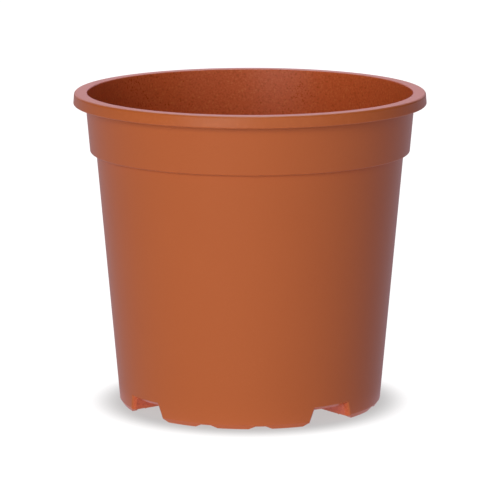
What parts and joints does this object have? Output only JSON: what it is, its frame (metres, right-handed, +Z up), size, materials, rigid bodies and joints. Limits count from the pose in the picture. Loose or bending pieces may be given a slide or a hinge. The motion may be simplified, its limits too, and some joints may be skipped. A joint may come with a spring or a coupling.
{
  "type": "plant pot",
  "caption": "Tapered round nursery pot moulded in terracotta-coloured plastic, with a rolled lip, a stepped collar and drainage notches round a raised base.",
  "frame": {"origin": "centre of the foot ring, on the ground", "axes": "+Z up along the pot's axis; the two drainage channels under the floor run along X and Y"},
  "size_m": [0.1898, 0.1898, 0.17],
  "materials": {
    "terracotta_plastic": "satin, finely grained polypropylene in a terracotta colour"
  },
  "bodies": {
    "root": {"pot": "terracotta_plastic"}
  },
  "joints": []
}
